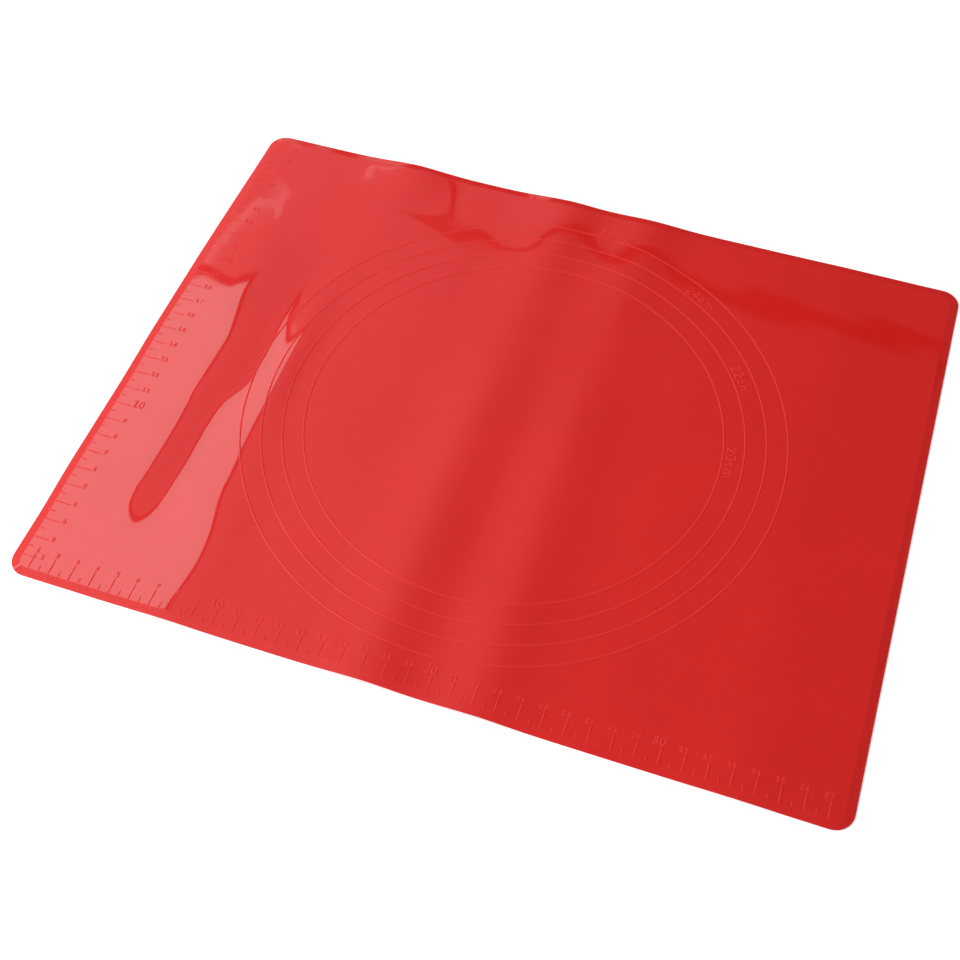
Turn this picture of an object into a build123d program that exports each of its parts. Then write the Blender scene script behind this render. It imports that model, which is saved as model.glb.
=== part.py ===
# Silicone baking mat with a centimetre ruler along two edges and four pastry circles.
# The mat is one moulding. It is divided here into strips across its length, each a rigid
# section, and the strips turn against each other about lines across the mat, so that the
# mat rolls up. Each strip carries its own share of the raised marks.
# Frame: +X along the mat's length, +Y towards its back edge, +Z up. The origin is at the
# middle of the underside. All lengths are in millimetres.
import os
from math import cos, degrees, radians, sin

from build123d import *

# Sheet
mat_length = 380.0
mat_width = 300.0
sheet_thickness = 0.9
corner_radius = 9.0

# Bevelled band round the edge: the sheet thins from its full thickness to its rim
edge_band_width = 4.2
rim_thickness = 0.4

# Raised marks
mark_height = 0.3

# Rulers: long lines at each centimetre and short ones between, from the edge band inwards
ruler_step = 10.0
large_numeral_every = 10
long_line_length = 7.5
short_line_length = 2.5
ruler_line_width = 0.6
front_numeral_gap = 0.8
side_numeral_gap = 1.1
side_numeral_drop = 0.2

# Lettering: every numeral is small, apart from 10, 20 and 30, and the labels are the circles'
all_digits = "0123456789"
small_digit_width = 1.7
small_digit_height = 2.6
small_digit_gap = 0.5
small_pen = 0.45
large_digit_width = 2.5
large_digit_height = 4.2
large_digit_gap = 0.5
large_pen = 0.6
label_digit_width = 3.1
label_digit_height = 4.9
label_c_width = 2.9
label_m_width = 5.4
label_small_letter_height = 3.5
label_letter_gap = 0.95
label_pen = 0.6

# Pastry circles round the mat's middle, as many as the rulers leave room for. Their labels
# stand outside them at even angles, counted from +X towards +Y
smallest_circle_radius = 100.0
circle_radius_step = 10.0
circle_line_width = 0.8
label_to_circle_gap = 1.2
first_label_angle = 5.5
label_angle_step = 26.25

# Strips: each cut runs between a centimetre line and the short line beyond it
centimetres_per_section = 2
line_to_cut = 3.0

# Places worked out from the sizes
left_edge = -mat_length / 2
right_edge = mat_length / 2
front_edge = -mat_width / 2
half_step = ruler_step / 2
cut_step = centimetres_per_section * ruler_step
first_cut = left_edge + cut_step + line_to_cut
ruler_foot = front_edge + edge_band_width
side_ruler_foot = left_edge + edge_band_width
front_numeral_foot = ruler_foot + long_line_length + front_numeral_gap
front_ruler_top = front_numeral_foot + large_digit_height
side_numeral_start = side_ruler_foot + long_line_length + side_numeral_gap
side_ruler_end = side_numeral_start + 2 * large_digit_width + large_digit_gap

# The circles' middle is on a line of the front ruler: of the lines that come first in their
# strips, the one nearest the mat's middle
first_line_of_strip = first_cut + ruler_step - line_to_cut
circles_x = first_line_of_strip + cut_step * round(-first_line_of_strip / cut_step)
circle_room = min(-front_ruler_top, circles_x - side_ruler_end) - circle_line_width / 2
circle_count = 1 + int((circle_room - smallest_circle_radius) / circle_radius_step)
circle_radii = [smallest_circle_radius + count * circle_radius_step for count in range(circle_count)]
circles_reach = circle_radii[-1] + circle_line_width / 2
quarter_turn = 90

# Each stroke of a character is a line through two points or an arc through three. A point
# is given in shares of the character's width and height, from the left end of its foot.
stroke_shares = {
    "0": (
        ((0, 0.7), (0.5, 1), (1, 0.7)),
        ((1, 0.7), (1, 0.3)),
        ((1, 0.3), (0.5, 0), (0, 0.3)),
        ((0, 0.3), (0, 0.7)),
    ),
    "1": (((0.55, 0), (0.55, 1)), ((0.55, 1), (0.2, 0.82)), ((0.15, 0), (0.95, 0))),
    "2": (
        ((0, 0.76), (0.52, 1), (0.96, 0.66)),
        ((0.96, 0.66), (0, 0)),
        ((0, 0), (1, 0)),
    ),
    "3": (
        ((0.04, 0.88), (0.9, 0.78), (0.4, 0.54)),
        ((0.4, 0.54), (1, 0.28), (0, 0.12)),
    ),
    "4": (
        ((0.72, 0), (0.72, 1)),
        ((0.72, 1), (0, 0.3)),
        ((0, 0.3), (1, 0.3)),
    ),
    "5": (
        ((0.9, 1), (0.14, 1)),
        ((0.14, 1), (0.08, 0.55)),
        ((0.08, 0.55), (1, 0.32), (0, 0.1)),
    ),
    "6": (
        ((0.86, 0.96), (0.2, 0.74), (0, 0.3)),
        ((0, 0.3), (0.5, 0), (1, 0.3)),
        ((1, 0.3), (0.5, 0.58), (0, 0.3)),
    ),
    "7": (((0, 1), (1, 1)), ((1, 1), (0.34, 0))),
    "8": (
        ((0.5, 0.54), (0.08, 0.77), (0.5, 1)),
        ((0.5, 1), (0.92, 0.77), (0.5, 0.54)),
        ((0.5, 0.54), (0, 0.27), (0.5, 0)),
        ((0.5, 0), (1, 0.27), (0.5, 0.54)),
    ),
    "9": (
        ((1, 0.7), (0.5, 1), (0, 0.7)),
        ((0, 0.7), (0.5, 0.42), (1, 0.7)),
        ((1, 0.7), (0.8, 0.26), (0.14, 0.04)),
    ),
    "c": (((0.95, 0.78), (0, 0.5), (0.95, 0.22)),),
    "m": (
        ((0.08, 0), (0.08, 1)),
        ((0.08, 0.72), (0.3, 1), (0.52, 0.72)),
        ((0.52, 0.72), (0.52, 0)),
        ((0.52, 0.72), (0.74, 1), (0.94, 0.72)),
        ((0.94, 0.72), (0.94, 0)),
    ),
}


def drawn_character(character, width, height, pen):
    """A character drawn with a round pen, with its foot's middle at the sketch's origin."""
    with BuildSketch() as drawn:
        for stroke in stroke_shares[character]:
            points = [
                (x * (width - pen) - (width - pen) / 2, y * (height - pen) + pen / 2)
                for x, y in stroke
            ]
            path = Edge.make_line(*points) if len(points) == 2 else Edge.make_three_point_arc(*points)
            SlotArc(path, pen)
    return drawn.sketch


def lettering(characters, width, height, pen):
    """The drawn characters of one size, by character."""
    return {c: drawn_character(c, width, height, pen) for c in characters}


small_digits = lettering(all_digits, small_digit_width, small_digit_height, small_pen)
large_digits = lettering(all_digits, large_digit_width, large_digit_height, large_pen)
label_letters = {
    **lettering(all_digits, label_digit_width, label_digit_height, label_pen),
    **lettering("c", label_c_width, label_small_letter_height, label_pen),
    **lettering("m", label_m_width, label_small_letter_height, label_pen),
}
label_widths = {
    **dict.fromkeys(all_digits, label_digit_width),
    "c": label_c_width,
    "m": label_m_width,
}


def numeral_style(number):
    """The digits for a ruler's number, how far apart their middles are, and their width."""
    if number % large_numeral_every == 0:
        return large_digits, large_digit_width + large_digit_gap, large_digit_width
    return small_digits, small_digit_width + small_digit_gap, small_digit_width


def front_numeral(number):
    """A number's digits and their places, over its line and with the last digit on it."""
    digits, advance, _ = numeral_style(number)
    line_x = left_edge + number * ruler_step
    return [
        (digits[digit], (line_x - place * advance, front_numeral_foot))
        for place, digit in enumerate(reversed(str(number)))
    ]


def side_numeral(number):
    """A number's digits and their places, beside its line and from the line's end inwards."""
    digits, advance, width = numeral_style(number)
    foot = front_edge + number * ruler_step - side_numeral_drop
    return [
        (digits[digit], (side_numeral_start + width / 2 + place * advance, foot))
        for place, digit in enumerate(str(number))
    ]


def write_numerals(count, numeral):
    """Writes the numbers from 1 to the count, each kind of digit at all its places at once."""
    places = {}
    for number in range(1, count + 1):
        for digit, place in numeral(number):
            places.setdefault(digit, []).append(place)
    for digit, spots in places.items():
        with Locations(*spots):
            add(digit)


def write_label(text, circle_radius, middle_angle):
    """Writes a circle's label outside it, read clockwise with its letters' tops outwards."""
    foot_radius = circle_radius + circle_line_width / 2 + label_to_circle_gap
    widths = [label_widths[c] for c in text]
    whole = sum(widths) + label_letter_gap * (len(text) - 1)
    start = -whole / 2
    for character, width in zip(text, widths):
        turn_back = (start + width / 2) / foot_radius
        angle = radians(middle_angle) - turn_back
        place = (circles_x + foot_radius * cos(angle), foot_radius * sin(angle))
        with Locations(Location((*place, 0), (0, 0, degrees(angle) - quarter_turn))):
            add(label_letters[character])
        start += width + label_letter_gap


def circle_label(radius):
    """A circle's diameter in centimetres, as its label says it."""
    return f"{round(2 * radius / ruler_step)}cm"


def steps_along(length):
    """How many centimetre lines a ruler has on an edge of this length."""
    return int((length - half_step) / ruler_step)


def section_spans():
    """The strips' left and right ends, from the left edge of the mat to the right one."""
    ends = [left_edge]
    cut = first_cut
    while cut < right_edge - corner_radius:
        ends.append(cut)
        cut += cut_step
    ends.append(right_edge)
    return list(zip(ends, ends[1:]))


def measured_faces(drawing):
    """The faces of a drawing, each with its bounding box."""
    return [(face, face.bounding_box()) for face in drawing.faces()]


def strip_share(faces, low, high):
    """The part of a drawing between two cuts, raised on the sheet."""
    with BuildPart() as share:
        with BuildSketch(Plane.XY.offset(sheet_thickness)):
            add([face for face, box in faces if box.min.X < high and box.max.X > low])
            with Locations((low, 0)):
                Rectangle(high - low, mat_width, align=(Align.MIN, Align.CENTER), mode=Mode.INTERSECT)
        extrude(amount=mark_height)
    return share.part


def save(part, name):
    """Labels a finished piece and writes its file."""
    part.label = name
    export_step(part, f"parts/{name}.step")
    print(name, "solids", len(part.solids()), "volume", round(part.volume, 2))


front_steps = steps_along(mat_length)
side_steps = steps_along(mat_width)
front_line_places = [
    (left_edge + step * ruler_step, ruler_foot)
    for step in range(1, front_steps + 1)
]
side_line_places = [
    (side_ruler_foot, front_edge + step * ruler_step)
    for step in range(1, side_steps + 1)
]

# The whole sheet, bevelled round its upper edge
with BuildPart() as whole_sheet:
    with BuildSketch():
        RectangleRounded(mat_length, mat_width, corner_radius)
    extrude(amount=sheet_thickness)
    upper_face = whole_sheet.faces().sort_by(Axis.Z)[-1]
    chamfer(
        upper_face.edges(),
        length=edge_band_width,
        length2=sheet_thickness - rim_thickness,
        reference=upper_face,
    )

# The front ruler, drawn whole
with BuildSketch() as front_ruler_drawing:
    with Locations(*front_line_places):
        Rectangle(ruler_line_width, long_line_length, align=(Align.CENTER, Align.MIN))
    with Locations(*[(x + half_step, y) for x, y in front_line_places[:-1]]):
        Rectangle(ruler_line_width, short_line_length, align=(Align.CENTER, Align.MIN))
    write_numerals(front_steps, front_numeral)
front_ruler_faces = measured_faces(front_ruler_drawing)

# The circles and their labels, drawn whole
with BuildSketch() as circles_drawing:
    with Locations((circles_x, 0)):
        for radius in reversed(circle_radii):
            Circle(radius + circle_line_width / 2)
            Circle(radius - circle_line_width / 2, mode=Mode.SUBTRACT)
    for count, radius in enumerate(circle_radii):
        write_label(circle_label(radius), radius, first_label_angle + count * label_angle_step)
circle_faces = measured_faces(circles_drawing)

# The side ruler, which stands whole on the first strip. Its first line stops at the front
# ruler's first line, and goes on past it
with BuildPart() as side_ruler_lines:
    with BuildSketch(Plane.XY.offset(sheet_thickness)):
        with Locations(*side_line_places):
            Rectangle(long_line_length, ruler_line_width, align=(Align.MIN, Align.CENTER))
        with Locations(*[(x, y + half_step) for x, y in side_line_places[:-1]]):
            Rectangle(short_line_length, ruler_line_width, align=(Align.MIN, Align.CENTER))
        with Locations(front_line_places[0]):
            Rectangle(
                ruler_line_width,
                long_line_length,
                align=(Align.CENTER, Align.MIN),
                mode=Mode.SUBTRACT,
            )
    extrude(amount=mark_height)

with BuildPart() as side_ruler_numerals:
    with BuildSketch(Plane.XY.offset(sheet_thickness)):
        write_numerals(side_steps, side_numeral)
    extrude(amount=mark_height)

os.makedirs("parts", exist_ok=True)
save(side_ruler_lines.part, "side_ruler_lines")
save(side_ruler_numerals.part, "side_ruler_numerals")

circle_strips = 0
for number, (low, high) in enumerate(section_spans(), start=1):
    with BuildPart() as mat_section:
        add(whole_sheet.part)
        with Locations((low, 0, 0)):
            Box(
                high - low,
                mat_width,
                sheet_thickness,
                align=(Align.MIN, Align.CENTER, Align.MIN),
                mode=Mode.INTERSECT,
            )
    save(mat_section.part, f"mat_section_{number:02d}")
    save(strip_share(front_ruler_faces, low, high), f"front_ruler_{number:02d}")
    if low < circles_x + circles_reach and high > circles_x - circles_reach:
        circle_strips += 1
        save(strip_share(circle_faces, low, high), f"circle_marks_{circle_strips:02d}")
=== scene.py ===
from math import atan2, ceil, cos, hypot, pi, radians, sin

import bmesh
import bpy
import numpy as np
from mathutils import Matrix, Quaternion, Vector


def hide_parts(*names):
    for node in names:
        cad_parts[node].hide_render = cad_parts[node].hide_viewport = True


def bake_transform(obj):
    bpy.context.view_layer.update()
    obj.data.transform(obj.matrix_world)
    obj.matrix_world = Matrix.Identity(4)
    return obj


MM = 0.001

# Sheet, as in the CAD source
mat_length = 380.0
mat_width = 300.0
sheet_thickness = 0.9
corner_radius = 9.0
edge_band_width = 4.2
rim_thickness = 0.4

# Raised marks, as in the CAD source, but a little lower and bolder, because their tops are rounded
mark_height = 0.18
ruler_step = 10.0
large_numeral_every = 10
long_line_length = 7.5
short_line_length = 2.5
ruler_line_width = 0.6
front_numeral_gap = 0.8
side_numeral_gap = 1.1
side_numeral_drop = 0.2
small_digit_size = (1.7, 2.6)
small_digit_gap = 0.5
small_pen = 0.58
large_digit_size = (2.5, 4.2)
large_digit_gap = 0.5
large_pen = 0.7
label_digit_size = (3.1, 4.9)
label_c_size = (2.9, 3.5)
label_m_size = (5.4, 3.5)
label_letter_gap = 0.95
label_pen = 0.6
circle_radii = (100.0, 110.0, 120.0, 130.0)
circle_line_width = 0.8
label_to_circle_gap = 1.2
first_label_angle = 5.5
label_angle_step = 26.25

# Strips that the rolled mat bends in: a panel of the sheet spans half a strip each side of a
# hinge, and the first and last panels reach the mat's ends
hinge_step = 20.0
first_hinge = -167.0
panel_count = 18
first_circle_panel = 3
last_circle_panel = 16

# A panel's tongue lies inside the next panel, just under its faces, and fills the hairline that
# opens at their seam as the mat rolls up
tongue_length = 1.0
tongue_inset = 0.03

# Fineness of the meshes
column_step = 1.25
row_step = 2.0
corner_steps = 9
mark_step = 1.6
arc_step = 0.35
ridge_sides = 8
rounded_end_steps = 3
rounded_end_tip = 0.5
sharp_edge_angle = 70

# Span over which a surface's slope is taken, share of a step that counts as rounding, and
# decimals in which points at the same place agree
slope_span = 0.15
step_tolerance = 1e-6
point_decimals = 4

# Distances outwards from the sheet's inner rectangle to the rows of points in its border
border_rows = (0.0, 2.4, 4.5, 4.8, 5.2, 6.6, 7.8, 8.6, 8.88)

# How near the sheet's edge, or a seam, a point lies that belongs to it
rim_reach = 0.3
seam_reach = 0.01

# A mark starts a little under the sheet's face, and its soft foot is this much wider than its pen
mark_sink = 0.06
foot_spread = 1.6

# Places worked out from the sizes
left_edge = -mat_length / 2
right_edge = mat_length / 2
front_edge = -mat_width / 2
back_edge = mat_width / 2
inner_right = right_edge - corner_radius
inner_back = back_edge - corner_radius
ruler_foot = front_edge + edge_band_width
side_ruler_foot = left_edge + edge_band_width
front_numeral_foot = ruler_foot + long_line_length + front_numeral_gap
side_numeral_start = side_ruler_foot + long_line_length + side_numeral_gap
inner_seams = [first_hinge + hinge_step * (n + 0.5) for n in range(panel_count - 1)]
seams = [left_edge, *inner_seams, right_edge]

# Each stroke of a character is a line through two points or an arc through three, in shares
# of the character's width and height
stroke_shares = {
    "0": (
        ((0, 0.7), (0.5, 1), (1, 0.7)),
        ((1, 0.7), (1, 0.3)),
        ((1, 0.3), (0.5, 0), (0, 0.3)),
        ((0, 0.3), (0, 0.7)),
    ),
    "1": (((0.55, 0), (0.55, 1)), ((0.55, 1), (0.2, 0.82)), ((0.15, 0), (0.95, 0))),
    "2": (((0, 0.76), (0.52, 1), (0.96, 0.66)), ((0.96, 0.66), (0, 0)), ((0, 0), (1, 0))),
    "3": (((0.04, 0.88), (0.9, 0.78), (0.4, 0.54)), ((0.4, 0.54), (1, 0.28), (0, 0.12))),
    "4": (((0.72, 0), (0.72, 1)), ((0.72, 1), (0, 0.3)), ((0, 0.3), (1, 0.3))),
    "5": (
        ((0.9, 1), (0.14, 1)),
        ((0.14, 1), (0.08, 0.55)),
        ((0.08, 0.55), (1, 0.32), (0, 0.1)),
    ),
    "6": (
        ((0.86, 0.96), (0.2, 0.74), (0, 0.3)),
        ((0, 0.3), (0.5, 0), (1, 0.3)),
        ((1, 0.3), (0.5, 0.58), (0, 0.3)),
    ),
    "7": (((0, 1), (1, 1)), ((1, 1), (0.34, 0))),
    "8": (
        ((0.5, 0.54), (0.08, 0.77), (0.5, 1)),
        ((0.5, 1), (0.92, 0.77), (0.5, 0.54)),
        ((0.5, 0.54), (0, 0.27), (0.5, 0)),
        ((0.5, 0), (1, 0.27), (0.5, 0.54)),
    ),
    "9": (
        ((1, 0.7), (0.5, 1), (0, 0.7)),
        ((0, 0.7), (0.5, 0.42), (1, 0.7)),
        ((1, 0.7), (0.8, 0.26), (0.14, 0.04)),
    ),
    "c": (((0.95, 0.78), (0, 0.5), (0.95, 0.22)),),
    "m": (
        ((0.08, 0), (0.08, 1)),
        ((0.08, 0.72), (0.3, 1), (0.52, 0.72)),
        ((0.52, 0.72), (0.52, 0)),
        ((0.52, 0.72), (0.74, 1), (0.94, 0.72)),
        ((0.94, 0.72), (0.94, 0)),
    ),
}

# Ripples left by storing the mat rolled up. Each runs from the front edge to the back edge:
# its crest's x, its half width and its height, each as pairs of a y and the value there
ripple_crests = (
    (
        ((-150, -112), (-117, -108.5), (-75, -115), (-40, -117), (40, -118), (150, -105)),
        ((-60, 12.0), (-20, 6.5), (50, 6.5), (100, 14.0)),
        ((-150, 0.8), (0, 0.9), (70, 0.25), (115, 0.35), (150, 2.0)),
    ),
    (
        ((-150, -18), (150, -17)),
        ((-150, 14.0),),
        ((-150, 1.9), (-10, 1.6), (45, 0.9), (60, 0.9), (150, 1.9)),
    ),
    (
        ((-150, 32), (150, 27)),
        ((-150, 13.0),),
        ((-150, 1.6), (-10, 1.3), (45, 0.7), (60, 0.7), (150, 1.5)),
    ),
    (((-150, 142), (150, 132)), ((-150, 13.0),), ((-150, 0.6), (150, 0.25))),
)

# Fold beside the side ruler, where the sheet steps down towards +X: its upper end's x, its
# lower end's x and its depth, each as pairs of a y and the value there
fold_upper_end = ((-116, -151), (-104, -156), (0, -156), (35, -164), (80, -168))
fold_lower_end = ((-116, -142), (-104, -137), (-60, -134), (-35, -134), (-10, -121), (80, -122))
fold_depth = ((-120, 0.0), (-86, 1.15), (-40, 1.15), (0, 2.1), (45, 2.1), (150, 0.0))

# Faint unevenness all over: height and how far one wave reaches
unevenness = 0.02
uneven_reach = (5.3, 9.3, 7.7, 13.0)

# Camera that took the photograph, in metres and degrees
camera_place_m = (0.12195, -0.37826, 0.53019)
camera_target_m = (-0.00433, -0.03582, 0.0)
camera_roll = -1.3254
camera_lens_mm = 51.934
camera_sensor_mm = 36.0

# Silicone: its clear base under a glossy skin, colour clouds and fine differences in gloss and
# relief, each noise as a scale and a detail
silicone_ior = 1.41
silicone_specular = 0.25
silicone_roughness = (0.44, 0.52)
skin_ior = 1.42
cloud_noise = (18.0, 3.0)
cloud_range = (0.35, 0.65)
gloss_noise = (160.0, 2.0)
gloss_range = (0.3, 0.7)
grain_noise = (900.0, 2.0)
grain_strength = 0.25
grain_depth_m = 0.00002

# Light and deep red, and the skin's share and roughness: the marks' skin is duller
sheet_reds = ((0.78, 0.0105, 0.0082), (0.75, 0.0095, 0.0075))
sheet_skin = (1.0, 0.035)
# the marks' reds are paler than the sheet's: painted sheen, standing for the light their rounded
# ridges catch
marks_reds_with_painted_sheen = ((0.84, 0.031, 0.028), (0.81, 0.028, 0.025))
marks_skin = (0.15, 0.45)

# Studio floor, in metres: its glow makes up for what the lamps don't reach
floor_radius_m = 6.0
floor_rings_m = (1.5, 3.0)
floor_sides = 48
sweep_radius_m = 1.5
sweep_steps = 8
wall_height_m = 3.2
floor_gap_m = 0.0001
floor_tone = 0.85
floor_roughness = 0.9
floor_fall_m = (0.4, 3.0)
floor_glow = (0.45, 1.0)

# What the mat mirrors, in metres: a bright panel up to the left in a black frame, a black rail
# and a thin lit edge behind it, and a pale ceiling that fades to the right. The ends of a panel
# are its two x and then its two y
panel_ends_m = (-1.36, -0.79, 0.2, 1.205)
panel_height_m = 1.5
panel_radiance = 2.8
panel_tint = (0.75, 1, 1)
frame_width_m = 0.035
frame_tone = 0.01
back_rail_m = ((-0.76, 1.49), (-0.5, 1.475), (0.75, 1.475), (0.75, 1.535), (-0.5, 1.515))
lit_edge_path_m = (
    (-1.051, 1.255),
    (-1.071, 1.371),
    (-1.078, 1.533),
    (-1.059, 1.629),
    (-1.033, 1.637),
    (-0.993, 1.61),
    (-0.945, 1.545),
)
lit_edge_half_m = 0.016
lit_edge_tone = 0.3
lit_edge_glow = 1.8
ceiling_ends_m = (-1.8, 0.9, -0.3, 2.3)
ceiling_height_m = 1.52
ceiling_tone = 0.3
ceiling_fall_m = (-0.85, 0.05)
ceiling_glow = (0.70, 0.12)

# Lamps, in metres: place, target, size and brightness of a wide panel beyond the left edge and a
# weak one in front, and the light from all round
left_panel = ((-1.5, -0.65, 1.15), (0.0, 0.0, 0.0), (1.4, 1.05), 9.6)
front_panel = ((0.3, -1.6, 1.4), (0.0, 0.0, 0.0), (1.4, 1.0), 0.4)
air_light = 0.05


def smooth_step(value, low, high):
    """0 below low, 1 above high, and a smooth rise between them."""
    share = np.clip((value - low) / (high - low), 0, 1)
    return share * share * (3 - 2 * share)


def value_at(y, places):
    """A value at y, led smoothly through those given at places across the mat."""
    value = places[0][1]
    for (near, before), (far, after) in zip(places, places[1:]):
        value = value + (after - before) * smooth_step(y, near, far)
    return value


def lift(x, y):
    """Height of the sheet's underside above the table at arrays of points."""
    first_wave = np.sin(x / uneven_reach[0] + y / uneven_reach[1])
    second_wave = np.sin(y / uneven_reach[2] - x / uneven_reach[3])
    total = unevenness * (1 + first_wave * second_wave)
    for crest, half_width, height in ripple_crests:
        away = (x - value_at(y, crest)) / value_at(y, half_width)
        total = total + value_at(y, height) * np.exp(-(away**2) / 2)
    stepped_down = smooth_step(x, value_at(y, fold_upper_end), value_at(y, fold_lower_end))
    return total + value_at(y, fold_depth) * (1 - stepped_down)


def inset(x, y):
    """Distance of a point on the sheet from the sheet's outer edge."""
    beyond_x = np.abs(x) - inner_right
    beyond_y = np.abs(y) - inner_back
    corner = np.hypot(np.maximum(beyond_x, 0), np.maximum(beyond_y, 0))
    return corner_radius - corner - np.minimum(np.maximum(beyond_x, beyond_y), 0)


def thickness(x, y):
    """Thickness of the sheet, which thins across its edge band."""
    share = np.clip(inset(x, y) / edge_band_width, 0, 1)
    return rim_thickness + (sheet_thickness - rim_thickness) * share


def top(x, y):
    """Height of the sheet's upper face."""
    return lift(x, y) + thickness(x, y)


def normals(surface, x, y):
    """Unit normals of a height field, from its heights a short span away."""
    slope_x = (surface(x + slope_span, y) - surface(x - slope_span, y)) / (2 * slope_span)
    slope_y = (surface(x, y + slope_span) - surface(x, y - slope_span)) / (2 * slope_span)
    raw = np.stack([-slope_x, -slope_y, np.ones_like(slope_x)], 1)
    return raw / np.linalg.norm(raw, axis=1, keepdims=True)


def spread(low, high, step):
    """Evenly spread places from low to high, at most a step apart."""
    steps = max(1, ceil((high - low) / step - step_tolerance))
    return np.linspace(low, high, steps + 1)


class Outline:
    """Points and faces of a flat drawing, with points at the same place shared."""

    def __init__(self):
        self.points = []
        self.faces = []
        self.known = {}

    def point(self, x, y):
        """The number of the point at a place, which is added if it is new."""
        place = (round(float(x), point_decimals), round(float(y), point_decimals))
        if place not in self.known:
            self.known[place] = len(self.points)
            self.points.append(place)
        return self.known[place]

    def patch(self, rows):
        """Adds the cells of a grid of points, given row by row, leaving out empty cells."""
        lines = [[self.point(x, y) for x, y in row] for row in rows]
        for near, far in zip(lines, lines[1:]):
            for cell in zip(near, near[1:], far[1:], far):
                corners = list(dict.fromkeys(cell))
                if len(corners) > 2:
                    self.faces.append(corners)

    def rim(self):
        """The edges that only one face has, in that face's own direction."""
        edges = dict.fromkeys(
            edge for face in self.faces for edge in zip(face, face[1:] + face[:1])
        )
        return [(a, b) for a, b in edges if (b, a) not in edges]


def border_paths(low, high, columns, rows):
    """Points along the inner rectangle's edges between two seams, with their directions outwards.

    A panel at the mat's left or right end has one path, round that end, and any other has two.
    """
    front = [(x, -inner_back, 0.0, -1.0) for x in columns]
    back = [(x, inner_back, 0.0, 1.0) for x in columns[::-1]]
    turn = [n * pi / 2 / corner_steps for n in range(1, corner_steps + 1)]
    if high == right_edge:
        end = [(inner_right, -inner_back, sin(a), -cos(a)) for a in turn]
        end += [(inner_right, y, 1.0, 0.0) for y in rows[1:]]
        end += [(inner_right, inner_back, cos(a), sin(a)) for a in turn]
        return [front + end + back[1:]]
    if low == left_edge:
        end = [(-inner_right, inner_back, -sin(a), cos(a)) for a in turn]
        end += [(-inner_right, y, -1.0, 0.0) for y in rows[::-1][1:]]
        end += [(-inner_right, -inner_back, -cos(a), -sin(a)) for a in turn]
        return [back + end + front[1:]]
    return [front, back]


def panel_outline(low, high):
    """The flat drawing of the sheet between two seams: its inner grid and its border."""
    outline = Outline()
    columns = spread(max(low, -inner_right), min(high, inner_right), column_step)
    rows = spread(-inner_back, inner_back, row_step)
    outline.patch([[(x, y) for x in columns] for y in rows])
    for path in border_paths(low, high, columns, rows):
        outline.patch([
            [(x + out_x * distance, y + out_y * distance) for x, y, out_x, out_y in path]
            for distance in border_rows[::-1]
        ])
    return outline


def in_scene(name, data):
    """An object of a mesh, a lamp or a camera, put in the scene."""
    made = bpy.data.objects.new(name, data)
    bpy.context.scene.collection.objects.link(made)
    return made


def mesh_object(name, points_m, faces, material):
    """An object from points in metres."""
    mesh = bpy.data.meshes.new(name)
    mesh.from_pydata(points_m, [], faces)
    mesh.materials.append(material)
    return in_scene(name, mesh)


def mat_piece(name, points, faces, material):
    """A smooth object from points in millimetres."""
    made = mesh_object(name, [tuple(MM * c for c in point) for point in points], faces, material)
    made.data.shade_smooth()
    return made


def rim_point(x, y):
    """The outermost point of the rounded rim beside a point of the sheet's edge, and its normal."""
    out = Vector((
        max(abs(x) - inner_right, 0) * np.sign(x),
        max(abs(y) - inner_back, 0) * np.sign(y),
        0,
    )).normalized()
    reach = corner_radius - border_rows[-1]
    middle = lift(x, y) + rim_thickness / 2
    return (x + out.x * reach, y + out.y * reach, middle), tuple(out)


def tongue_section(seam, y):
    """The tongue's points at one place along a seam, from its root on top to its root below."""
    x = np.array([seam, seam + tongue_length])
    upper = top(x, y) - tongue_inset
    lower = lift(x, y) + tongue_inset
    return [
        (x[0], y, upper[0]),
        (x[1], y, upper[1]),
        (x[1], y, lower[1]),
        (x[0], y, lower[0]),
    ]


def side_faces(chain_a, chain_b):
    """Faces between two chains of points that run down a panel's side."""
    if len(chain_a) != len(chain_b):
        return [[chain_b[0], *chain_a, *chain_b[:0:-1]]]
    return [
        [b, a, below_a, below_b]
        for a, b, below_a, below_b in zip(chain_a, chain_b, chain_a[1:], chain_b[1:])
    ]


def sheet_panel(name, low, high, material):
    """One closed panel of the rippled sheet, with a rounded rim and a tongue at its far seam."""
    outline = panel_outline(low, high)
    flat = np.array(outline.points)
    x, y = flat[:, 0], flat[:, 1]
    count = len(flat)
    points = np.column_stack([x, y, top(x, y)]).tolist()
    points += np.column_stack([x, y, lift(x, y)]).tolist()
    directions = normals(top, x, y).tolist() + (-normals(lift, x, y)).tolist()
    faces = outline.faces + [[count + c for c in face[::-1]] for face in outline.faces]

    edges = outline.rim()
    ends = sorted({c for edge in edges for c in edge})
    # points between the upper and lower faces, beside those of the drawing's edge
    bulge, tongue = {}, {}
    for c in ends:
        if inset(x[c], y[c]) < rim_reach:
            bulge[c] = [len(points)]
            place, out = rim_point(x[c], y[c])
            points.append(place)
            directions.append(out)
    for c in ends:
        if high < right_edge and abs(x[c] - high) < seam_reach:
            section = tongue_section(high, y[c])
            tongue[c] = list(range(len(points), len(points) + len(section)))
            points += section
            directions += [directions[c]] * 2 + [directions[count + c]] * 2

    for edge in edges:
        at_tongue = all(c in tongue for c in edge)
        between = tongue if at_tongue else bulge
        chains = [[c, *between.get(c, []), count + c] for c in edge]
        faces += side_faces(*chains)
        if at_tongue:
            # the tongue's and the panel's ends where the seam meets the rim
            for c, chain, turn in zip(edge, chains, (-1, 1)):
                if c in bulge:
                    faces.append(tongue[c][::turn])
                    faces.append([*chain[:2], *chain[-2:], *bulge[c]][::turn])

    made = mat_piece(name, points, faces, material)
    made.data.normals_split_custom_set_from_vertices(directions)
    return made


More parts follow.
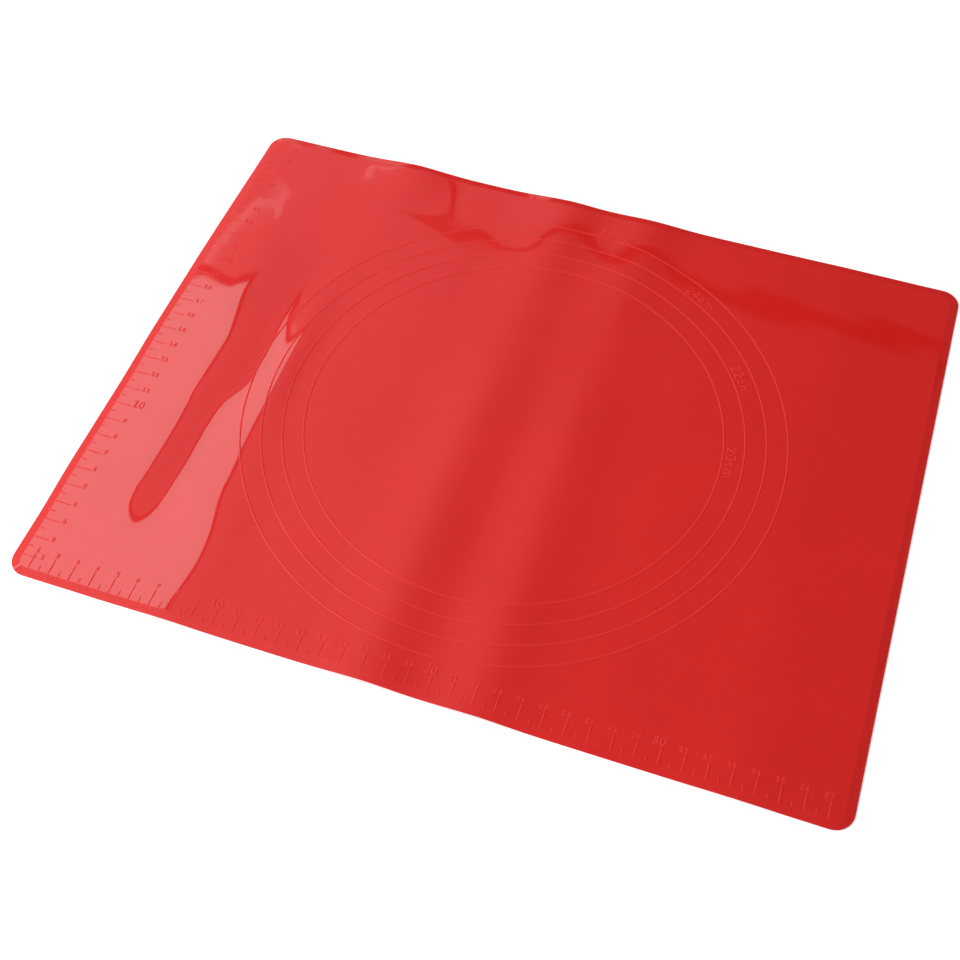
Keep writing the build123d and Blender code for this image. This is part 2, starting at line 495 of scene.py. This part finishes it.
def arc_through(start, middle, end):
    """Points along the arc through three points."""
    ax, ay = start
    bx, by = middle
    cx, cy = end
    places = (start, middle, end)
    divisor = 2 * (ax * (by - cy) + bx * (cy - ay) + cx * (ay - by))
    a_square, b_square, c_square = (px * px + py * py for px, py in places)
    centre_x = (a_square * (by - cy) + b_square * (cy - ay) + c_square * (ay - by)) / divisor
    centre_y = (a_square * (cx - bx) + b_square * (ax - cx) + c_square * (bx - ax)) / divisor
    radius = hypot(ax - centre_x, ay - centre_y)
    first, between, last = (atan2(py - centre_y, px - centre_x) for px, py in places)
    turn = (last - first) % (2 * pi)
    if (between - first) % (2 * pi) > turn:
        turn -= 2 * pi
    angles = first + spread(0, 1, arc_step / (abs(turn) * radius)) * turn
    return [(centre_x + radius * cos(a), centre_y + radius * sin(a)) for a in angles]


def straight(start, end):
    """Points along a straight line."""
    across, up = end[0] - start[0], end[1] - start[1]
    shares = spread(0, 1, mark_step / hypot(across, up))
    return [(start[0] + across * share, start[1] + up * share) for share in shares]


def ridge(points, faces, path, width, closed=False):
    """Adds a rounded ridge along a path to lists of points and faces."""
    half = width / 2 * foot_spread
    stations = []
    last = len(path) - 1
    for n, (x, y) in enumerate(path):
        before = path[n - 1] if closed else path[max(n - 1, 0)]
        after = path[(n + 1) % len(path)] if closed else path[min(n + 1, last)]
        length = hypot(after[0] - before[0], after[1] - before[1])
        along = ((after[0] - before[0]) / length, (after[1] - before[1]) / length)
        stations.append((x, y, along, 1.0))
    if not closed:
        # each end rounds off over a few narrower stations, and a flat face closes it at its tip
        for at_end, sign in ((0, -1), (-1, 1)):
            x, y, along, _ = stations[at_end]
            for n in range(1, rounded_end_steps + 1):
                angle = n * pi / 2 / (rounded_end_steps + rounded_end_tip)
                reach = sign * half * sin(angle)
                extra = (x + along[0] * reach, y + along[1] * reach, along, cos(angle))
                if sign < 0:
                    stations.insert(0, extra)
                else:
                    stations.append(extra)
    base = len(points)
    ring = ridge_sides + 1
    for x, y, along, share in stations:
        for n in range(ring):
            # a cosine wave across the ridge, from foot to foot, whose feet run out softly
            side = cos(pi * n / ridge_sides)
            across = half * share * side
            height = (mark_height + mark_sink) * share * (1 + cos(pi * side)) / 2 - mark_sink
            points.append((x + along[1] * across, y - along[0] * across, height))
    pairs = list(zip(range(len(stations)), range(1, len(stations))))
    if closed:
        pairs.append((len(stations) - 1, 0))
    for near, far in pairs:
        for n in range(ring):
            after = (n + 1) % ring
            faces.append([
                base + near * ring + n,
                base + far * ring + n,
                base + far * ring + after,
                base + near * ring + after,
            ])
    if not closed:
        faces.append([base + n for n in range(ring)])
        faces.append([base + (len(stations) - 1) * ring + n for n in range(ring)][::-1])


def write_character(points, faces, character, size, pen, place, turn=0.0):
    """Adds a character's ridges, with its foot's middle at a place."""
    width, height = size
    for stroke in stroke_shares[character]:
        flat = [
            (sx * (width - pen) - (width - pen) / 2, sy * (height - pen) + pen / 2)
            for sx, sy in stroke
        ]
        local = straight(*flat) if len(flat) == 2 else arc_through(*flat)
        path = [
            (place[0] + px * cos(turn) - py * sin(turn), place[1] + px * sin(turn) + py * cos(turn))
            for px, py in local
        ]
        ridge(points, faces, path, pen)


def numeral_style(number):
    """The size, pen and advance of a ruler number's digits."""
    if number % large_numeral_every == 0:
        return large_digit_size, large_pen, large_digit_size[0] + large_digit_gap
    return small_digit_size, small_pen, small_digit_size[0] + small_digit_gap


def ruler_lines(start, ruler_length):
    """A ruler's lines: each one's place and length, and a whole centimetre's number."""
    half_steps = round(2 * ruler_length / ruler_step)
    # from the first whole centimetre to the last one before the far edge
    for half_step in range(2, half_steps - 1):
        place = start + half_step * ruler_step / 2
        if half_step % 2 == 0:
            yield place, long_line_length, half_step // 2
        else:
            yield place, short_line_length, None


def front_ruler_share(low, high):
    """Ridges of the front ruler's lines and numerals between two seams."""
    points, faces = [], []
    half = ruler_line_width / 2
    for x, length, number in ruler_lines(left_edge, mat_length):
        if not low < x < high:
            continue
        line = straight((x, ruler_foot + half), (x, ruler_foot + length - half))
        ridge(points, faces, line, ruler_line_width)
        if number is None:
            continue
        size, pen, advance = numeral_style(number)
        for place, digit in enumerate(reversed(str(number))):
            foot = (x - place * advance, front_numeral_foot)
            write_character(points, faces, digit, size, pen, foot)
    return points, faces


def side_ruler_lines():
    """Ridges of the side ruler's lines."""
    points, faces = [], []
    half = ruler_line_width / 2
    for y, length, _ in ruler_lines(front_edge, mat_width):
        line = straight((side_ruler_foot + half, y), (side_ruler_foot + length - half, y))
        ridge(points, faces, line, ruler_line_width)
    return points, faces


def side_ruler_numerals():
    """Ridges of the side ruler's numerals."""
    points, faces = [], []
    for y, _, number in ruler_lines(front_edge, mat_width):
        if number is None:
            continue
        size, pen, advance = numeral_style(number)
        for place, digit in enumerate(str(number)):
            foot = (side_numeral_start + size[0] / 2 + place * advance, y - side_numeral_drop)
            write_character(points, faces, digit, size, pen, foot)
    return points, faces


def circle_ridges():
    """Ridges of the whole circles and their labels, which stand on the circles' outer sides."""
    points, faces = [], []
    sizes = {"c": label_c_size, "m": label_m_size}
    for count, radius in enumerate(circle_radii):
        steps = ceil(2 * pi * radius / mark_step)
        angles = [2 * pi * n / steps for n in range(steps)]
        path = [(radius * cos(angle), radius * sin(angle)) for angle in angles]
        ridge(points, faces, path, circle_line_width, closed=True)
        text = f"{round(2 * radius / ruler_step)}cm"
        foot_radius = radius + circle_line_width / 2 + label_to_circle_gap
        letter_sizes = [sizes.get(c, label_digit_size) for c in text]
        middle_angle = radians(first_label_angle + count * label_angle_step)
        start = -(sum(w for w, _ in letter_sizes) + label_letter_gap * (len(text) - 1)) / 2
        for character, size in zip(text, letter_sizes):
            angle = middle_angle - (start + size[0] / 2) / foot_radius
            place = (foot_radius * cos(angle), foot_radius * sin(angle))
            write_character(points, faces, character, size, label_pen, place, angle - pi / 2)
            start += size[0] + label_letter_gap
    return points, faces


def laid_on_sheet(points):
    """The points of marks drawn on a flat sheet, raised to the rippled one."""
    placed = np.array(points)
    placed[:, 2] += top(placed[:, 0], placed[:, 1])
    return placed.tolist()


def marks_piece(name, points, faces, material):
    """An object of ridges that lie on the sheet."""
    made = mat_piece(name, laid_on_sheet(points), faces, material)
    made.data.set_sharp_from_angle(angle=radians(sharp_edge_angle))
    return made


def whole_circles():
    """A mesh of the circles and their labels, laid flat."""
    points, faces = circle_ridges()
    whole = bmesh.new()
    corners = [whole.verts.new(point) for point in points]
    for face in faces:
        whole.faces.new([corners[c] for c in face])
    return whole


def cut_share(whole, low, high):
    """The part of a mesh of flat-laid ridges between two seams, with the cuts closed."""
    share = whole.copy()
    for place, direction in ((low, -1), (high, 1)):
        cut = bmesh.ops.bisect_plane(
            share,
            geom=share.verts[:] + share.edges[:] + share.faces[:],
            plane_co=(place, 0, 0),
            plane_no=(direction, 0, 0),
            clear_outer=True,
        )
        rims = [e for e in cut["geom_cut"] if isinstance(e, bmesh.types.BMEdge)]
        bmesh.ops.holes_fill(share, edges=rims)
    share.verts.index_update()
    points = [tuple(v.co) for v in share.verts]
    faces = [[v.index for v in f.verts] for f in share.faces]
    share.free()
    return points, faces


def new_material(name):
    """A material, with its nodes, links and shader."""
    made = bpy.data.materials.new(name)
    made.use_nodes = True
    nodes = made.node_tree.nodes
    return made, nodes, made.node_tree.links, nodes["Principled BSDF"]


def set_inputs(node, values):
    """Sets a node's inputs by their names."""
    for name, value in values.items():
        node.inputs[name].default_value = value


def noise_over(place, nodes, links, scale, detail):
    """Noise over an object, from its own coordinates."""
    noise = nodes.new("ShaderNodeTexNoise")
    set_inputs(noise, {"Scale": scale, "Detail": detail})
    links.new(place.outputs["Object"], noise.inputs["Vector"])
    return noise.outputs["Fac"]


def ranged(value, nodes, links, before, after, kind="LINEAR"):
    """A value taken from one range to another."""
    mapping = nodes.new("ShaderNodeMapRange")
    mapping.interpolation_type = kind
    set_inputs(mapping, {"From Min": before[0], "From Max": before[1]})
    set_inputs(mapping, {"To Min": after[0], "To Max": after[1]})
    links.new(value, mapping.inputs["Value"])
    return mapping.outputs["Result"]


def silicone(name, light_red, deep_red, skin, skin_roughness):
    """Moulded silicone: a soft broad sheen under a thin glossy skin."""
    made, nodes, links, shader = new_material(name)
    set_inputs(shader, {
        "IOR": silicone_ior,
        "Specular IOR Level": silicone_specular,
        "Coat Weight": skin,
        "Coat Roughness": skin_roughness,
        "Coat IOR": skin_ior,
    })
    place = nodes.new("ShaderNodeTexCoord")

    colours = nodes.new("ShaderNodeValToRGB")
    for stop, position, red in zip(colours.color_ramp.elements, cloud_range, (deep_red, light_red)):
        stop.position = position
        stop.color = (*red, 1)
    links.new(noise_over(place, nodes, links, *cloud_noise), colours.inputs["Fac"])
    links.new(colours.outputs["Color"], shader.inputs["Base Color"])

    gloss = noise_over(place, nodes, links, *gloss_noise)
    roughness = ranged(gloss, nodes, links, gloss_range, silicone_roughness)
    links.new(roughness, shader.inputs["Roughness"])

    relief = nodes.new("ShaderNodeBump")
    set_inputs(relief, {"Strength": grain_strength, "Distance": grain_depth_m})
    links.new(noise_over(place, nodes, links, *grain_noise), relief.inputs["Height"])
    links.new(relief.outputs["Normal"], shader.inputs["Normal"])
    return made


def seen_directly(nodes, links):
    """1 for what the camera, a reflection or a clear material shows, and 0 for other light."""
    rays = nodes.new("ShaderNodeLightPath")
    total = rays.outputs["Is Camera Ray"]
    for kind in ("Is Glossy Ray", "Is Transmission Ray"):
        larger = nodes.new("ShaderNodeMath")
        larger.operation = "MAXIMUM"
        links.new(total, larger.inputs[0])
        links.new(rays.outputs[kind], larger.inputs[1])
        total = larger.outputs[0]
    return total


def studio_look(name, tone, glow=0.0):
    """An even dull grey for a piece of the studio, which may glow white."""
    made, nodes, links, shader = new_material(name)
    set_inputs(shader, {
        "Base Color": (tone, tone, tone, 1),
        "Specular IOR Level": 0.0,
        "Emission Color": (1, 1, 1, 1),
        "Emission Strength": glow,
    })
    return made, nodes, links, shader


def floor_look():
    """The pale floor's finish, which keeps shadows and looks white where it has none."""
    made, nodes, links, shader = studio_look("studio_white", floor_tone)
    shader.inputs["Roughness"].default_value = floor_roughness
    place = nodes.new("ShaderNodeTexCoord")
    distance = nodes.new("ShaderNodeVectorMath")
    distance.operation = "LENGTH"
    links.new(place.outputs["Object"], distance.inputs[0])
    # the lamps reach the floor round the object but not the wall, so the glow grows towards it
    own_light = ranged(distance.outputs["Value"], nodes, links, floor_fall_m, floor_glow)
    scaled = nodes.new("ShaderNodeMath")
    scaled.operation = "MULTIPLY"
    links.new(own_light, scaled.inputs[0])
    links.new(seen_directly(nodes, links), scaled.inputs[1])
    links.new(scaled.outputs[0], shader.inputs["Emission Strength"])
    return made


def ceiling_look():
    """The pale ceiling's finish, which glows less towards the right."""
    made, nodes, links, shader = studio_look("ceiling_white", ceiling_tone)
    place = nodes.new("ShaderNodeTexCoord")
    axes = nodes.new("ShaderNodeSeparateXYZ")
    links.new(place.outputs["Object"], axes.inputs[0])
    glow = ranged(axes.outputs["X"], nodes, links, ceiling_fall_m, ceiling_glow, "SMOOTHSTEP")
    links.new(glow, shader.inputs["Emission Strength"])
    return made


def stage_piece(name, points, faces, material):
    """A piece of the studio, from points in metres."""
    made = mesh_object(name, points, faces, material)
    return made


def studio_floor():
    """A round pale floor that sweeps up into a wall."""
    sweep_start_m = floor_radius_m - sweep_radius_m
    profile = [(radius, 0.0) for radius in (*floor_rings_m, sweep_start_m)]
    for n in range(1, sweep_steps + 1):
        angle = n * pi / 2 / sweep_steps
        radius = sweep_start_m + sweep_radius_m * sin(angle)
        profile.append((radius, sweep_radius_m * (1 - cos(angle))))
    profile.append((floor_radius_m, wall_height_m))
    points = [(0, 0, -floor_gap_m)]
    for radius, height in profile:
        for n in range(floor_sides):
            angle = 2 * pi * n / floor_sides
            points.append((radius * cos(angle), radius * sin(angle), height - floor_gap_m))
    faces = [[0, 1 + n, 1 + (n + 1) % floor_sides] for n in range(floor_sides)]
    for ring in range(len(profile) - 1):
        near, far = 1 + ring * floor_sides, 1 + (ring + 1) * floor_sides
        for n in range(floor_sides):
            after = (n + 1) % floor_sides
            faces.append([near + n, far + n, far + after, near + after])
    made = stage_piece("studio_floor", points, faces, floor_look())
    made.data.shade_smooth()


def panel_light(name, place, target, size, radiance, tint=(1, 1, 1)):
    """A rectangular soft light whose face has a given brightness."""
    lamp = bpy.data.lights.new(name, "AREA")
    lamp.shape = "RECTANGLE"
    lamp.size, lamp.size_y = size
    lamp.energy = radiance * pi * size[0] * size[1]
    lamp.color = tint
    made = in_scene(name, lamp)
    made.location = place
    made.rotation_euler = (Vector(target) - Vector(place)).to_track_quat("-Z", "Y").to_euler()


def mirrored_panel():
    """The bright panel that the mat mirrors, with its black frame."""
    x0, x1, y0, y1 = panel_ends_m
    middle = ((x0 + x1) / 2, (y0 + y1) / 2)
    size = (x1 - x0, y1 - y0)
    overhead = (*middle, panel_height_m)
    panel_light("mirrored_panel", overhead, (*middle, 0.0), size, panel_radiance, panel_tint)
    inner = [(x0, y0), (x1, y0), (x1, y1), (x0, y1)]
    outer = [
        (x + frame_width_m * np.sign(x - middle[0]), y + frame_width_m * np.sign(y - middle[1]))
        for x, y in inner
    ]
    count = len(inner)
    after = [(n + 1) % count for n in range(count)]
    sides = [(n, after[n], count + after[n], count + n) for n in range(count)]
    black = studio_look("frame_black", frame_tone)[0]
    for name, path, faces in (
        ("panel_frame", outer + inner, sides),
        ("back_rail", back_rail_m, [range(len(back_rail_m))]),
    ):
        stage_piece(name, [(x, y, panel_height_m) for x, y in path], faces, black)


def lit_edge():
    """A thin glowing edge that curves along behind the panel."""
    points = []
    for n, (x, y) in enumerate(lit_edge_path_m):
        before = lit_edge_path_m[max(n - 1, 0)]
        after = lit_edge_path_m[min(n + 1, len(lit_edge_path_m) - 1)]
        length = hypot(after[0] - before[0], after[1] - before[1])
        across_x = (after[1] - before[1]) / length * lit_edge_half_m
        across_y = (before[0] - after[0]) / length * lit_edge_half_m
        points.append((x + across_x, y + across_y, panel_height_m))
        points.append((x - across_x, y - across_y, panel_height_m))
    faces = [(2 * n, 2 * n + 1, 2 * n + 3, 2 * n + 2) for n in range(len(lit_edge_path_m) - 1)]
    stage_piece("lit_edge", points, faces, studio_look("lit_edge", lit_edge_tone, lit_edge_glow)[0])


def ceiling():
    """A pale ceiling over the panel."""
    x0, x1, y0, y1 = ceiling_ends_m
    corners = [(x, y, ceiling_height_m) for x, y in ((x0, y0), (x0, y1), (x1, y1), (x1, y0))]
    stage_piece("studio_ceiling", corners, [(0, 1, 2, 3)], ceiling_look())


def studio_air():
    """The faint even light from all round."""
    world = bpy.data.worlds.new("studio_air")
    world.use_nodes = True
    set_inputs(world.node_tree.nodes["Background"], {"Color": (1, 1, 1, 1), "Strength": air_light})
    bpy.context.scene.world = world


def photograph_camera():
    """The camera that took the photograph."""
    data = bpy.data.cameras.new("camera")
    data.lens = camera_lens_mm
    data.sensor_width = camera_sensor_mm
    made = in_scene("camera", data)
    made.location = camera_place_m
    aim = (Vector(camera_target_m) - Vector(camera_place_m)).to_track_quat("-Z", "Y")
    made.rotation_euler = (aim @ Quaternion((0, 0, 1), radians(camera_roll))).to_euler()
    bpy.context.scene.camera = made


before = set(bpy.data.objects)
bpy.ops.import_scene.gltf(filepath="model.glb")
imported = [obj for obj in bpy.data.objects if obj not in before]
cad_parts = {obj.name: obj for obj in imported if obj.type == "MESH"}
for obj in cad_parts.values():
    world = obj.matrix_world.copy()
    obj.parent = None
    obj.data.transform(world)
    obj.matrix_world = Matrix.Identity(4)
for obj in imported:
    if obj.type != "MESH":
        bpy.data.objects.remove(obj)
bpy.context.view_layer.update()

sheet_look = silicone("silicone_sheet", *sheet_reds, *sheet_skin)
# the marks' material carries painted sheen in its paler reds
marks_look_with_painted_sheen = silicone("silicone_marks", *marks_reds_with_painted_sheen, *marks_skin)
circles = whole_circles()

for number, (low, high) in enumerate(zip(seams, seams[1:]), start=1):
    last = number == panel_count
    stood_for = [number, number + 1] if last else [number]

    panel = sheet_panel(f"sheet_panel_{number:02d}", low, high, sheet_look)
    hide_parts(*[f"mat_section_{n:02d}" for n in stood_for])
    drawn = front_ruler_share(low, high)
    marks = [marks_piece(f"front_ruler_ridges_{number:02d}", *drawn, marks_look_with_painted_sheen)]
    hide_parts(*[f"front_ruler_{n:02d}" for n in stood_for])
    if number == 1:
        for kind, drawn in (("lines", side_ruler_lines()), ("numerals", side_ruler_numerals())):
            marks.append(marks_piece(f"side_ruler_{kind}_ridges", *drawn, marks_look_with_painted_sheen))
            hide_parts(f"side_ruler_{kind}")
    if first_circle_panel <= number <= last_circle_panel:
        share = cut_share(circles, low, high)
        marks.append(marks_piece(f"circle_ridges_{number:02d}", *share, marks_look_with_painted_sheen))
        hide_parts(f"circle_marks_{number - first_circle_panel + 1:02d}")

    for piece in [panel, *marks]:
        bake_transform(piece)
circles.free()

studio_floor()
mirrored_panel()
lit_edge()
ceiling()
panel_light("left_panel", *left_panel)
panel_light("front_panel", *front_panel)
studio_air()
photograph_camera()
bpy.context.scene.view_settings.view_transform = "Standard"
